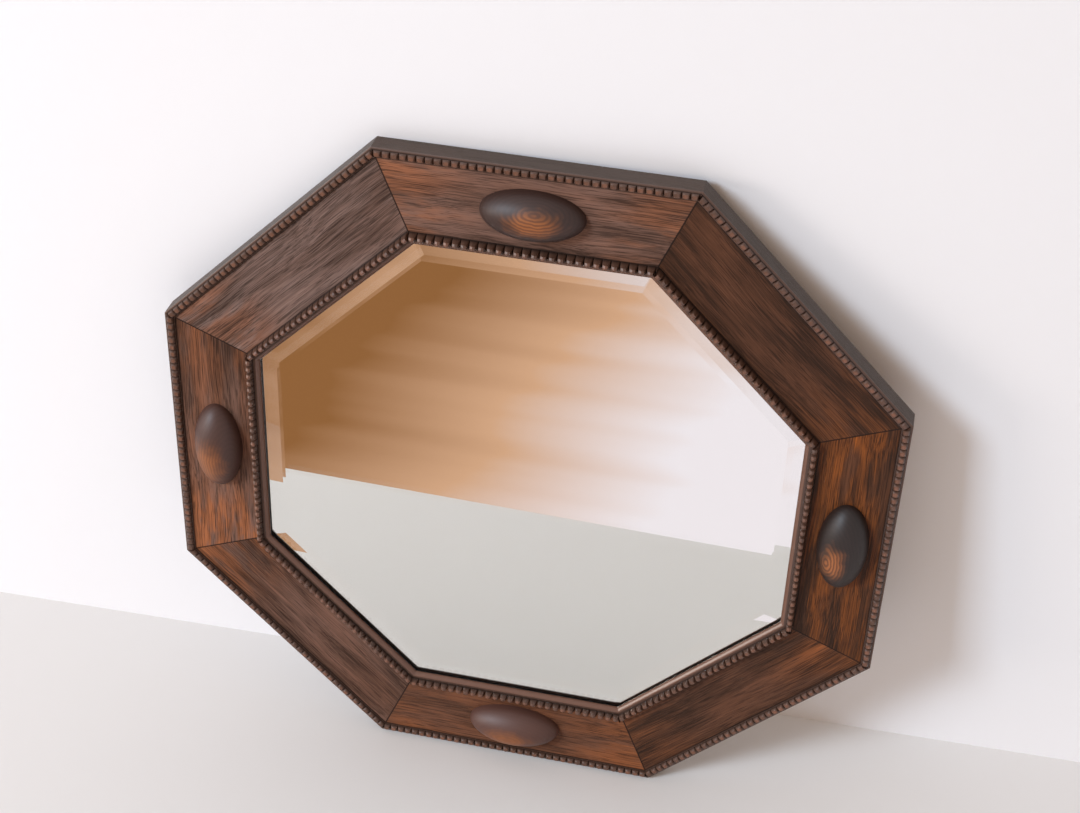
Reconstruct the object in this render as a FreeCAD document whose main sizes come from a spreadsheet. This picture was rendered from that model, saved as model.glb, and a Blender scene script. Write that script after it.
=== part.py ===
"""Octagonal oak wall mirror: mitred rails, beaded mouldings, turned bosses, bevelled glass, hanging ring.

Row frame: X to the viewer's right, Z up, the front faces -Y, and the back of the frame lies in the plane
Y = 0 with the origin at its centre. Every side of the octagon is drawn in a bench frame of its own, as the
joiner sees it lying on its back: X along the rail, Y out from the centre of the mirror, Z up to the front.
"""
import FreeCAD, Part
import math
import os
import re
import Sketcher

V = FreeCAD.Vector

# Driving dimensions: alias, value, and what it measures, in millimetres unless the note says otherwise
DIMENSIONS = [
    ("across_flats", 530.0, "frame, outer side to opposite outer side"),
    ("rail_thickness", 15.0, "back of a rail to its flat front"),
    ("flat_width", 52.7, "plain band between the two beaded strips"),
    ("saw_allowance", 6.0, "length left on a moulding before its mitres are cut"),
    ("outer_strip_width", 7.3, "outer beaded strip, side to side"),
    ("outer_fillet", 2.6, "plain fillet between the outer beads and the outer edge"),
    ("outer_fillet_height", 0.8, "outer strip's fillet above the flat"),
    ("outer_bead_height", 3.4, "crests of the outer beads above the flat"),
    ("outer_beads", 37, "beads along one outer strip, a count"),
    ("inner_beads", 28, "beads along one inner moulding, a count"),
    ("inner_bead_width", 4.8, "row of inner beads, side to side"),
    ("inner_fillet", 1.8, "plain fillet between the inner beads and the slope"),
    ("inner_fillet_height", 2.2, "inner moulding's fillet above the flat"),
    ("inner_bead_height", 7.7, "crests of the inner beads above the flat"),
    ("inner_moulding_width", 9.4, "inner moulding, flat's side to sight edge"),
    ("moulding_lap", 3.2, "inner moulding lying on the front of the rail"),
    ("bead_bevel", 1.0, "slant of a bead's side beside a fillet, measured across the row"),
    ("notch_width", 2.4, "slit between two beads, at the crests"),
    ("notch_floor", 0.3, "floor of a slit above the fillet"),
    ("sight_depth", 1.2, "sight edge behind the flat"),
    ("sight_land", 0.8, "square edge at the foot of the slope"),
    ("glass_thickness", 6.0, "mirror plate"),
    ("glass_edge_clearance", 1.3, "mirror plate to the rails around it"),
    ("glass_lip_clearance", 0.2, "bevel to the underside of the inner moulding"),
    ("bevel_visible", 12.5, "bevel inside the sight edge"),
    ("bevel_depth", 1.8, "bevel's drop from the face to the plate's edge"),
    ("board_thickness", 4.0, "backboard, and depth of its rebate"),
    ("board_ledge", 12.0, "width of the rebate ledge that carries the backboard"),
    ("board_clearance", 0.6, "backboard to the wall of its rebate"),
    ("block_length", 44.0, "glazing block along the rail"),
    ("block_width", 12.0, "glazing block on the back of the glass"),
    ("block_height", 4.2, "glazing block against the rail"),
    ("block_nose", 1.4, "glazing block at its thin edge"),
    ("spline_thickness", 4.0, "loose tongue in a mitre"),
    ("spline_width", 24.0, "loose tongue across the mitre"),
    ("spline_length", 40.0, "loose tongue along the mitre"),
    ("spline_height", 6.5, "back of the frame to the loose tongue's slot"),
    ("spline_edge", 11.0, "end of the slot to the outer corner, along the mitre"),
    ("wood_clearance", 0.1, "glue line around a loose tongue and slack around a brad or screw"),
    ("brad_width", 1.8, "brad across the rail"),
    ("brad_depth", 1.4, "brad along the rail"),
    ("brad_length", 13.0, "brad with its head"),
    ("brad_head", 1.0, "thickness of a brad's head"),
    ("brad_head_lip", 0.6, "brad's head beyond its shank, along the rail"),
    ("boss_length", 72.0, "turned boss along the rail"),
    ("boss_width", 36.0, "turned boss across the rail, twice its height"),
    ("boss_shoulder", 40.0, "place on a boss's ellipse where its crown meets its ends, in degrees"),
    ("boss_count", 4, "bosses round the frame, a count"),
    ("strap_clearance", 1.0, "lower end of the hanger strap to the wall of the backboard's rebate"),
    ("strap_width", 11.0, "hanger strap, side to side"),
    ("strap_length", 33.0, "hanger strap below the hinge"),
    ("strap_sheet", 1.0, "sheet that the strap is folded from"),
    ("ring_wire", 2.0, "diameter of the ring's wire"),
    ("ring_play", 0.1, "radial play of the ring's bar in the folded eye"),
    ("ring_width", 16.0, "ring between the middle lines of its legs, at the bar"),
    ("ring_reach", 14.0, "ring between the middle lines of its bar and its top"),
    ("ring_bend", 1.6, "bend at each end of the ring's bar, measured along the bar"),
    ("ring_bow", 5.0, "bend at each end of the ring's top, measured along the top"),
    ("ring_joint_gap", 0.3, "butt joint in the ring's bar, inside the eye"),
    ("ring_rest_clearance", 0.6, "ring's bow above the strap that it hangs over"),
    ("screw_upper", 19.0, "upper screw below the hinge"),
    ("screw_lower", 28.0, "lower screw below the hinge"),
    ("screw_shank", 3.4, "diameter of a screw's shank"),
    ("screw_length", 13.0, "screw under its head"),
    ("screw_head", 6.4, "diameter of a screw's head"),
    ("screw_head_height", 2.0, "height of a screw's head"),
]

# Compass of the octagon: name of each side, turned clockwise from the top as the front is seen
SIDES = ["top", "upper_right", "right", "lower_right", "bottom", "lower_left", "left", "upper_left"]
SIDE_TURN = 360 / len(SIDES)
UPRIGHT = FreeCAD.Rotation(V(1, 0, 0), 90)

doc = FreeCAD.newDocument("wall_mirror")
sheet = doc.addObject("Spreadsheet::Sheet", "Sizes")
for row, (alias, number, note) in enumerate(DIMENSIONS, start=1):
    sheet.set(f"A{row}", alias)
    sheet.set(f"B{row}", str(number))
    sheet.setAlias(f"B{row}", alias)
    sheet.set(f"C{row}", note)
doc.recompute()


def sized(formula):
    """Formula whose words are the sheet's aliases, in the form that a bound property takes."""
    return "(" + re.sub("[a-z_]+", lambda word: f"Sizes.{word[0]}", formula) + ")"


def measure(formula):
    """Number that a bound formula gives now."""
    return float(sheet.evalExpression(formula))


# Radii are measured square to a side, from the middle of the mirror; heights are measured from the back
OUTER = sized("across_flats / 2")
FLAT_OUTER = sized("across_flats / 2 - outer_strip_width")
FLAT_INNER = sized("across_flats / 2 - outer_strip_width - flat_width")
RAIL_INNER = sized("across_flats / 2 - outer_strip_width - flat_width - moulding_lap")
SIGHT = sized("across_flats / 2 - outer_strip_width - flat_width - inner_moulding_width")
BOARD_WALL = f"({RAIL_INNER} + {sized('board_ledge')})"
BOARD = f"({BOARD_WALL} - {sized('board_clearance')})"
BRAD_LINE = f"(({RAIL_INNER} + {BOARD}) / 2)"
GLASS = f"({RAIL_INNER} - {sized('glass_edge_clearance')})"
BEVEL_INNER = f"({SIGHT} - {sized('bevel_visible')})"
BOSS_LINE = f"(({FLAT_OUTER} + {FLAT_INNER}) / 2)"

FLAT = sized("rail_thickness")
OUTER_FILLET = sized("rail_thickness + outer_fillet_height")
OUTER_CREST = sized("rail_thickness + outer_bead_height")
INNER_FILLET = sized("rail_thickness + inner_fillet_height")
INNER_CREST = sized("rail_thickness + inner_bead_height")
SIGHT_EDGE = sized("rail_thickness - sight_depth")
BEVEL_DROP = f"({sized('bevel_depth * bevel_visible')} / ({GLASS} - {BEVEL_INNER}))"
GLASS_FACE = f"({SIGHT_EDGE} - {sized('glass_lip_clearance')} + {BEVEL_DROP})"
GLASS_BACK = f"({GLASS_FACE} - {sized('glass_thickness')})"
GLASS_LAND = f"({GLASS_FACE} - {sized('bevel_depth')})"

HALF_TURN = f"{SIDE_TURN / 2}"
MITRE_SLOPE = f"tan({HALF_TURN})"
MITRE_SIN = f"sin({HALF_TURN})"
MITRE_COS = f"cos({HALF_TURN})"

EYE_RADIUS = sized("ring_wire / 2 + ring_play + strap_sheet")
STRAP_TOP = sized("2 * strap_sheet")
HINGE = f"({BOARD_WALL} + {sized('strap_clearance + strap_length')})"


def new_body(label):
    """Empty body for one sub-part; its label names its file."""
    body = doc.addObject("PartDesign::Body", label)
    body.Label = label
    return body


def origin_feature(body, role):
    """Plane or axis of the body's own origin."""
    return next(item for item in body.Origin.OriginFeatures if item.Role == role)


def new_sketch(body, name, plane, height="0"):
    """Sketch on one of the body's origin planes, lifted along the plane's normal by a bound height."""
    sketch = body.newObject("Sketcher::SketchObject", name)
    sketch.AttachmentSupport = [(origin_feature(body, plane), "")]
    sketch.MapMode = "FlatFace"
    if height != "0":
        sketch.setExpression("AttachmentOffset.Base.z", height)
    return sketch


def bind(sketch, constraint, name, formula):
    """Adds a dimension whose value is a bound formula."""
    index = sketch.addConstraint(constraint)
    sketch.renameConstraint(index, name)
    sketch.setExpression(f"Constraints.{name}", formula)


def fix_point(sketch, geometry, end, name, across, up):
    """Ties a point to its distances from the sketch's origin; a distance of 0 puts it on the axis."""
    for axis, line, formula in (("DistanceX", -2, across), ("DistanceY", -1, up)):
        if formula == "0":
            sketch.addConstraint(Sketcher.Constraint("PointOnObject", geometry, end, line))
        else:
            constraint = Sketcher.Constraint(axis, -1, 1, geometry, end, measure(formula))
            bind(sketch, constraint, f"{name}_{axis[-1].lower()}", formula)


def draw_polygon(sketch, corners, name="p"):
    """Closed outline through corners, each given as two bound formulas."""
    points = [V(measure(across), measure(up), 0) for across, up in corners]
    first = sketch.GeometryCount
    count = len(points)
    for i in range(count):
        sketch.addGeometry(Part.LineSegment(points[i], points[(i + 1) % count]))
    for i in range(count):
        following = first + (i + 1) % count
        sketch.addConstraint(Sketcher.Constraint("Coincident", first + i, 2, following, 1))
        fix_point(sketch, first + i, 1, f"{name}{i}", *corners[i])


def draw_circle(sketch, across, up, radius, name="c"):
    """Circle about a bound centre, with a bound radius."""
    centre = V(measure(across), measure(up), 0)
    geometry = sketch.addGeometry(Part.Circle(centre, V(0, 0, 1), measure(radius)))
    fix_point(sketch, geometry, 3, name, across, up)
    bind(sketch, Sketcher.Constraint("Radius", geometry, measure(radius)), f"{name}_r", radius)


def draw_octagon(sketch, inner_radius):
    """Regular octagon about the origin, with one side square to the sketch's upward axis."""
    corners = []
    for i in range(len(SIDES)):
        angle = f"{SIDE_TURN * i + SIDE_TURN / 2}"
        corners.append((f"({inner_radius} / {MITRE_COS} * sin({angle}))",
                        f"({inner_radius} / {MITRE_COS} * cos({angle}))"))
    draw_polygon(sketch, corners)


def pad(body, sketch, length, symmetric=False, reverse=False):
    """Sketch thickened along its normal by a bound length."""
    feature = body.newObject("PartDesign::Pad", f"{sketch.Name}_pad")
    feature.Profile = sketch
    feature.SideType = "Symmetric" if symmetric else "One side"
    feature.Reversed = reverse
    feature.setExpression("Length", length)
    return feature


def pocket(body, sketch, length=None, symmetric=False, reverse=False):
    """Sketch cut into the body, by a bound length or right through."""
    feature = body.newObject("PartDesign::Pocket", f"{sketch.Name}_cut")
    feature.Profile = sketch
    feature.SideType = "Symmetric" if symmetric else "One side"
    feature.Reversed = reverse
    if length is None:
        feature.Type = "ThroughAll"
    else:
        feature.setExpression("Length", length)
    return feature


def mirrored(body, originals, plane):
    """Features repeated on the other side of one of the body's origin planes."""
    feature = body.newObject("PartDesign::Mirrored", f"{originals[0].Name}_mirrored")
    feature.Originals = originals
    feature.MirrorPlane = (origin_feature(body, plane), [""])
    body.Tip = feature
    return feature


def around(body, originals, count):
    """Features repeated round the middle of the mirror."""
    feature = body.newObject("PartDesign::PolarPattern", f"{originals[0].Name}_around")
    feature.Originals = originals
    feature.Axis = (origin_feature(body, "Z_Axis"), [""])
    feature.Angle = 360
    feature.setExpression("Occurrences", count)
    body.Tip = feature
    return feature


def along(body, originals, length, count):
    """Features repeated along the rail, from its +X end towards -X."""
    feature = body.newObject("PartDesign::LinearPattern", f"{originals[0].Name}_along")
    feature.Originals = originals
    feature.Direction = (origin_feature(body, "X_Axis"), [""])
    feature.Reversed = True
    feature.setExpression("Length", length)
    feature.setExpression("Occurrences", count)
    body.Tip = feature
    return feature


def stand_on_side(body, side):
    """Turns a body from the bench frame to its side of the standing octagon."""
    turn = FreeCAD.Rotation(V(0, 1, 0), SIDE_TURN * SIDES.index(side))
    body.Placement = FreeCAD.Placement(V(), turn * UPRIGHT)


def cut_mitres(body, other_cuts=()):
    """Saws both ends of a bar on lines through the mirror's middle, other cuts repeated at both ends."""
    inside = f"({SIGHT} - {sized('saw_allowance')})"
    outside = f"({OUTER} + {sized('saw_allowance')})"
    clear = f"({outside} * {MITRE_SLOPE} + {sized('saw_allowance')})"
    sketch = new_sketch(body, f"{body.Name}_mitre", "XY_Plane")
    draw_polygon(sketch, [
        (f"({inside} * {MITRE_SLOPE})", inside),
        (clear, inside),
        (clear, outside),
        (f"({outside} * {MITRE_SLOPE})", outside),
    ])
    cut = pocket(body, sketch, reverse=True)
    return mirrored(body, [cut, *other_cuts], "YZ_Plane")


def bar(body, section):
    """Moulding of one section, drawn as radius and height, long enough to mitre."""
    sketch = new_sketch(body, f"{body.Name}_section", "YZ_Plane")
    draw_polygon(sketch, section)
    length = f"(2 * {OUTER} * {MITRE_SLOPE} + 2 * {sized('saw_allowance')})"
    return pad(body, sketch, length, symmetric=True)


def spline_outline(slack, beyond):
    """Loose tongue's plan on the mitre at the +X end: slack all round, reaching beyond the mitre as asked."""
    end = f"({OUTER} / {MITRE_COS} - {sized('spline_edge')} - {slack})"
    start = f"({OUTER} / {MITRE_COS} - {sized('spline_edge + spline_length')} + {slack})"
    back = f"({slack} - {sized('spline_width')} / 2)"
    corners = [(start, beyond), (end, beyond), (end, back), (start, back)]
    return [(f"({reach} * {MITRE_SIN} + {across} * {MITRE_COS})",
             f"({reach} * {MITRE_COS} - {across} * {MITRE_SIN})") for reach, across in corners]


def brad_outline(slack, lip="0"):
    """Brad's plan at the middle of a side: slack all round, and a head's lip along the rail as asked."""
    half_along = f"({sized('brad_depth')} / 2 + {slack} + {lip})"
    half_across = f"({sized('brad_width')} / 2 + {slack})"
    left, right = f"(-1 * {half_along})", half_along
    low, high = f"({BRAD_LINE} - {half_across})", f"({BRAD_LINE} + {half_across})"
    return [(left, low), (right, low), (right, high), (left, high)]


def rail(side):
    """Oak rail: plain board with a rebate for the backboard, slots for tongues and brads, and mitred ends."""
    body = new_body(f"rail_{side}")
    bar(body, [
        (BOARD_WALL, "0"),
        (OUTER, "0"),
        (OUTER, FLAT),
        (RAIL_INNER, FLAT),
        (RAIL_INNER, sized("board_thickness")),
        (BOARD_WALL, sized("board_thickness")),
    ])
    slot_sketch = new_sketch(body, f"{body.Name}_slot", "XY_Plane", sized("spline_height"))
    draw_polygon(slot_sketch, spline_outline("0", sized("saw_allowance")))
    slot = pocket(body, slot_sketch, sized("spline_thickness"), reverse=True)
    brad_sketch = new_sketch(body, f"{body.Name}_brad", "XY_Plane")
    draw_polygon(brad_sketch, brad_outline(sized("wood_clearance")))
    pocket(body, brad_sketch, sized("brad_length + wood_clearance"), reverse=True)
    cut_mitres(body, [slot])
    if side == "top":
        drill_for_hanger(body)
    stand_on_side(body, side)


def drill_for_hanger(body):
    """Two screw holes in the back of the top rail."""
    sketch = new_sketch(body, f"{body.Name}_screw", "XY_Plane")
    radius = sized("screw_shank / 2 + wood_clearance")
    for name in ("screw_upper", "screw_lower"):
        draw_circle(sketch, "0", f"({HINGE} - {sized(name)})", radius, name)
    depth = f"({sized('screw_length + wood_clearance')} - {STRAP_TOP})"
    body.Tip = pocket(body, sketch, depth, reverse=True)


def cut_beads(body, count, radius, fillet, crest):
    """V slits across a strip, from crest to fillet, that part it into beads, from the +X end to the other."""
    pitch = f"(2 * {radius} * {MITRE_SLOPE} / {count})"
    middle = f"(({count} / 2 - 1) * {pitch})"
    floor = f"({fillet} + {sized('notch_floor')})"
    above = f"(2 * {crest} - {floor})"
    sketch = new_sketch(body, f"{body.Name}_notch", "XZ_Plane")
    draw_polygon(sketch, [
        (middle, floor),
        (f"({middle} + {sized('notch_width')})", above),
        (f"({middle} - {sized('notch_width')})", above),
    ])
    notch = pocket(body, sketch, symmetric=True)
    along(body, [notch], f"(({count} - 2) * {pitch})", f"{count} - 1")


def outer_bead(side):
    """Outer beaded strip: beads beside the flat and a plain fillet, glued along the front's outer edge."""
    body = new_body(f"outer_bead_{side}")
    fillet_line = f"({OUTER} - {sized('outer_fillet')})"
    bar(body, [
        (FLAT_OUTER, FLAT),
        (OUTER, FLAT),
        (OUTER, OUTER_FILLET),
        (fillet_line, OUTER_FILLET),
        (f"({fillet_line} - {sized('bead_bevel')})", OUTER_CREST),
        (FLAT_OUTER, OUTER_CREST),
    ])
    cut_beads(body, sized("outer_beads"), f"(({fillet_line} + {FLAT_OUTER}) / 2)", OUTER_FILLET, OUTER_CREST)
    cut_mitres(body)
    stand_on_side(body, side)


def inner_bead(side):
    """Inner moulding: tall beads beside the flat, a fillet, and a slope to the sight edge over the glass."""
    body = new_body(f"inner_bead_{side}")
    fillet_line = f"({FLAT_INNER} - {sized('inner_bead_width')})"
    bar(body, [
        (RAIL_INNER, SIGHT_EDGE),
        (RAIL_INNER, FLAT),
        (FLAT_INNER, FLAT),
        (FLAT_INNER, INNER_CREST),
        (f"({fillet_line} + {sized('bead_bevel')})", INNER_CREST),
        (fillet_line, INNER_FILLET),
        (f"({fillet_line} - {sized('inner_fillet')})", INNER_FILLET),
        (SIGHT, f"({SIGHT_EDGE} + {sized('sight_land')})"),
        (SIGHT, SIGHT_EDGE),
    ])
    cut_beads(body, sized("inner_beads"), f"(({fillet_line} + {FLAT_INNER}) / 2)", INNER_FILLET, INNER_CREST)
    cut_mitres(body)
    stand_on_side(body, side)


def draw_boss_slice(sketch, name, axis, start, end):
    """Slice of the boss's half ellipse between two angles, closed along the turning axis."""
    length, width = sized("boss_length"), sized("boss_width")
    middle = V(0, measure(BOSS_LINE), 0)
    ellipse = Part.Ellipse(middle, measure(length) / 2, measure(width) / 2)
    angles = [math.radians(measure(angle)) for angle in (start, end)]
    curve = sketch.addGeometry(Part.ArcOfEllipse(ellipse, *angles))
    sketch.exposeInternalGeometry(curve)
    long_axis, short_axis = curve + 1, curve + 2
    sketch.addConstraint(Sketcher.Constraint("Horizontal", long_axis))
    fix_point(sketch, curve, 3, f"{name}_centre", "0", BOSS_LINE)
    bind(sketch, Sketcher.Constraint("Distance", long_axis, measure(length)), f"{name}_length", length)
    bind(sketch, Sketcher.Constraint("Distance", short_axis, measure(width)), f"{name}_width", width)
    feet = []
    for point, angle, formula in ((2, angles[1], end), (1, angles[0], start)):
        top = middle + V(measure(length) / 2 * math.cos(angle), measure(width) / 2 * math.sin(angle), 0)
        if formula in ("0", "180"):
            sketch.addConstraint(Sketcher.Constraint("PointOnObject", curve, point, axis))
            feet.append((curve, point, top))
            continue
        across = f"({length} / 2 * cos({formula}))"
        shoulder = Sketcher.Constraint("DistanceX", -1, 1, curve, point, top.x)
        bind(sketch, shoulder, f"{name}_x{point}", across)
        side = sketch.addGeometry(Part.LineSegment(top, V(top.x, middle.y, 0)))
        sketch.addConstraint(Sketcher.Constraint("Coincident", curve, point, side, 1))
        sketch.addConstraint(Sketcher.Constraint("Vertical", side))
        sketch.addConstraint(Sketcher.Constraint("PointOnObject", side, 2, axis))
        feet.append((side, 2, V(top.x, middle.y, 0)))
    base = sketch.addGeometry(Part.LineSegment(feet[0][2], feet[1][2]))
    for end_point, (geometry, point, _) in enumerate(feet, start=1):
        sketch.addConstraint(Sketcher.Constraint("Coincident", geometry, point, base, end_point))


def turned_bosses():
    """Turned bosses: eggs split lengthwise, each on the middle of a flat, long axis along the rail."""
    body = new_body("turned_bosses")
    low, high = sized("boss_shoulder"), sized("180 - boss_shoulder")
    turnings = []
    for name, slices in (("crown", [(low, high)]), ("ends", [("0", low), (high, "180")])):
        sketch = new_sketch(body, f"boss_{name}", "XY_Plane", FLAT)
        half, line = measure(sized("boss_length / 2")), measure(BOSS_LINE)
        axis = sketch.addGeometry(Part.LineSegment(V(-half, line, 0), V(half, line, 0)), True)
        fix_point(sketch, axis, 1, "axis_left", sized("-1 * boss_length / 2"), BOSS_LINE)
        fix_point(sketch, axis, 2, "axis_right", sized("boss_length / 2"), BOSS_LINE)
        for i, (start, end) in enumerate(slices):
            draw_boss_slice(sketch, f"slice{i}", axis, start, end)
        turning = body.newObject("PartDesign::Revolution", f"boss_{name}_turning")
        turning.Profile = sketch
        turning.ReferenceAxis = (sketch, ["Axis0"])
        turning.Angle = 180
        turnings.append(turning)
    around(body, turnings, sized("boss_count"))
    stand_on_side(body, "top")


def mirror_glass():
    """Mirror plate: octagon with a wide bevel round its front."""
    body = new_body("mirror_glass")
    plate_sketch = new_sketch(body, "plate", "XY_Plane", GLASS_BACK)
    draw_octagon(plate_sketch, GLASS)
    pad(body, plate_sketch, f"({GLASS_LAND} - {GLASS_BACK})")
    edge_sketch = new_sketch(body, "bevel_edge", "XY_Plane", GLASS_LAND)
    draw_octagon(edge_sketch, GLASS)
    face_sketch = new_sketch(body, "bevel_face", "XY_Plane", GLASS_FACE)
    draw_octagon(face_sketch, BEVEL_INNER)
    bevel = body.newObject("PartDesign::AdditiveLoft", "bevel")
    bevel.Profile = edge_sketch
    bevel.Sections = [face_sketch]
    bevel.Ruled = True
    stand_on_side(body, "top")


def backboard():
    """Thin panel in the rails' rebate, flush with the back, slotted for its brads."""
    body = new_body("backboard")
    board_sketch = new_sketch(body, "panel", "XY_Plane")
    draw_octagon(board_sketch, BOARD)
    pad(body, board_sketch, sized("board_thickness"))
    slack = sized("wood_clearance")
    shank_sketch = new_sketch(body, "shank_slot", "XY_Plane")
    draw_polygon(shank_sketch, brad_outline(slack))
    shank_slot = pocket(body, shank_sketch, reverse=True)
    head_sketch = new_sketch(body, "head_slot", "XY_Plane")
    draw_polygon(head_sketch, brad_outline(slack, sized("brad_head_lip")))
    head_slot = pocket(body, head_sketch, sized("brad_head"), reverse=True)
    around(body, [shank_slot, head_slot], str(len(SIDES)))
    stand_on_side(body, "top")


def backboard_brads():
    """Cut brads, one to a side, with heads sunk level with the back of the board."""
    body = new_body("backboard_brads")
    shank_sketch = new_sketch(body, "shank", "XY_Plane")
    draw_polygon(shank_sketch, brad_outline("0"))
    shank = pad(body, shank_sketch, sized("brad_length"))
    head_sketch = new_sketch(body, "head", "XY_Plane")
    draw_polygon(head_sketch, brad_outline("0", sized("brad_head_lip")))
    head = pad(body, head_sketch, sized("brad_head"))
    around(body, [shank, head], str(len(SIDES)))
    stand_on_side(body, "top")


def glazing_blocks():
    """Wedges glued to the rails behind the glass, one to a side."""
    body = new_body("glazing_blocks")
    thin_edge = f"({RAIL_INNER} - {sized('block_width')})"
    sketch = new_sketch(body, "wedge", "YZ_Plane")
    draw_polygon(sketch, [
        (RAIL_INNER, GLASS_BACK),
        (thin_edge, GLASS_BACK),
        (thin_edge, f"({GLASS_BACK} - {sized('block_nose')})"),
        (RAIL_INNER, f"({GLASS_BACK} - {sized('block_height')})"),
    ])
    wedge = pad(body, sketch, sized("block_length"), symmetric=True)
    around(body, [wedge], str(len(SIDES)))
    stand_on_side(body, "top")


def mitre_splines():
    """Loose tongues glued into the slots of neighbouring rails, one to a mitre."""
    body = new_body("mitre_splines")
    slack = sized("wood_clearance")
    sketch = new_sketch(body, "tongue", "XY_Plane", f"({sized('spline_height')} + {slack})")
    draw_polygon(sketch, spline_outline(slack, f"({sized('spline_width')} / 2 - {slack})"))
    tongue = pad(body, sketch, f"({sized('spline_thickness')} - 2 * {slack})")
    around(body, [tongue], str(len(SIDES)))
    stand_on_side(body, "top")


def place_hanger(body, behind, turn=None):
    """Puts a piece of the hanger at the hinge, behind the top rail, turned about the hinge as asked."""
    body.Placement = FreeCAD.Placement(V(), FreeCAD.Rotation(V(1, 0, 0), 0 if turn is None else 180))
    body.setExpression("Placement.Base.y", behind)
    body.setExpression("Placement.Base.z", HINGE)
    if turn is not None:
        body.setExpression("Placement.Rotation.Angle", turn)


def hanger_strap():
    """Strap folded double round the ring's bar: eye at the top, round lower end, two screw holes."""
    body = new_body("hanger_strap")
    half = sized("strap_width / 2")
    lower = f"({half} - {sized('strap_length')})"
    plan = new_sketch(body, f"{body.Name}_plan", "XZ_Plane")
    radius, foot = measure(half), measure(lower)
    right = plan.addGeometry(Part.LineSegment(V(radius, foot, 0), V(radius, 0, 0)))
    top = plan.addGeometry(Part.LineSegment(V(radius, 0, 0), V(-radius, 0, 0)))
    left = plan.addGeometry(Part.LineSegment(V(-radius, 0, 0), V(-radius, foot, 0)))
    round_end = Part.Circle(V(0, foot, 0), V(0, 0, 1), radius)
    end = plan.addGeometry(Part.ArcOfCircle(round_end, math.pi, 2 * math.pi))
    for first, second in ((right, top), (top, left)):
        plan.addConstraint(Sketcher.Constraint("Coincident", first, 2, second, 1))
    plan.addConstraint(Sketcher.Constraint("Tangent", left, 2, end, 1))
    plan.addConstraint(Sketcher.Constraint("Tangent", end, 2, right, 1))
    plan.addConstraint(Sketcher.Constraint("Vertical", left))
    fix_point(plan, right, 2, "corner", half, "0")
    plan.addConstraint(Sketcher.Constraint("PointOnObject", top, 2, -1))
    fix_point(plan, end, 3, "end", "0", lower)
    pad(body, plan, STRAP_TOP, reverse=True)
    eye = new_sketch(body, f"{body.Name}_eye", "YZ_Plane")
    draw_circle(eye, EYE_RADIUS, "0", EYE_RADIUS)
    pad(body, eye, sized("strap_width"), symmetric=True)
    bore = new_sketch(body, f"{body.Name}_bore", "YZ_Plane")
    draw_circle(bore, EYE_RADIUS, "0", sized("ring_wire / 2 + ring_play"))
    pocket(body, bore, symmetric=True)
    holes = new_sketch(body, f"{body.Name}_holes", "XZ_Plane")
    for name in ("screw_upper", "screw_lower"):
        draw_circle(holes, "0", sized(f"-1 * {name}"), sized("screw_shank / 2 + wood_clearance"), name)
    pocket(body, holes, symmetric=True)
    place_hanger(body, "0")


def hanging_ring():
    """Ring bent from round wire, its butt joint hidden in the strap's eye, hanging down over the strap."""
    body = new_body("hanging_ring")
    gap, bend, bow = sized("ring_joint_gap / 2"), sized("ring_bend"), sized("ring_bow")
    half, reach = sized("ring_width / 2"), sized("ring_reach")
    right = [
        (gap, "0"),
        (f"({half} - {bend})", "0"),
        (half, bend),
        (half, f"({reach} - {bow})"),
        (f"({half} - {bow})", reach),
    ]
    bends = right + [(f"(-1 * {across})", up) for across, up in reversed(right)]
    points = [V(measure(across), measure(up), 0) for across, up in bends]
    path = new_sketch(body, "ring_path", "XZ_Plane")
    for i in range(len(points) - 1):
        path.addGeometry(Part.LineSegment(points[i], points[i + 1]))
        fix_point(path, i, 1, f"bend{i}", *bends[i])
        if i > 0:
            path.addConstraint(Sketcher.Constraint("Coincident", i - 1, 2, i, 1))
    fix_point(path, len(points) - 2, 2, "end", *bends[-1])
    wire = new_sketch(body, "ring_wire", "YZ_Plane", gap)
    draw_circle(wire, "0", "0", sized("ring_wire / 2"))
    sweep = body.newObject("PartDesign::AdditivePipe", "ring_sweep")
    sweep.Profile = wire
    sweep.Spine = (path, [f"Edge{i + 1}" for i in range(len(points) - 1)])
    sweep.Transition = "Right corner"
    lift = f"({STRAP_TOP} + {sized('ring_rest_clearance + ring_wire / 2')} - {EYE_RADIUS})"
    place_hanger(body, EYE_RADIUS, f"180 deg + asin({lift} / {reach})")


def hanger_screws():
    """Flat-topped round-head screws through the strap into the top rail."""
    body = new_body("hanger_screws")
    shank, rim = sized("screw_shank / 2"), sized("screw_head / 2")
    tip = f"({STRAP_TOP} - {sized('screw_length')})"
    crown = f"({STRAP_TOP} + {sized('screw_head_height')})"
    for name in ("screw_upper", "screw_lower"):
        profile = new_sketch(body, f"{name}_profile", "XY_Plane", f"({HINGE} - {sized(name)})")
        draw_polygon(profile, [
            ("0", tip),
            (shank, tip),
            (shank, STRAP_TOP),
            (rim, STRAP_TOP),
            (rim, crown),
            ("0", crown),
        ])
        turning = body.newObject("PartDesign::Revolution", f"{name}_turning")
        turning.Profile = profile
        turning.ReferenceAxis = (profile, ["V_Axis"])
        turning.Angle = 360


for name in SIDES:
    rail(name)
    outer_bead(name)
    inner_bead(name)
turned_bosses()
mirror_glass()
glazing_blocks()
backboard()
backboard_brads()
mitre_splines()
hanger_strap()
hanging_ring()
hanger_screws()
doc.recompute()

parts = [item for item in doc.Objects if item.TypeId == "PartDesign::Body"]
failed = [item.Label for item in doc.Objects if "Invalid" in item.State or "Error" in item.State]
failed += [item.Label for item in parts if item.Shape.isNull() or not item.Shape.isValid()]
if failed:
    raise RuntimeError(f"these objects did not build: {failed}")

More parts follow.
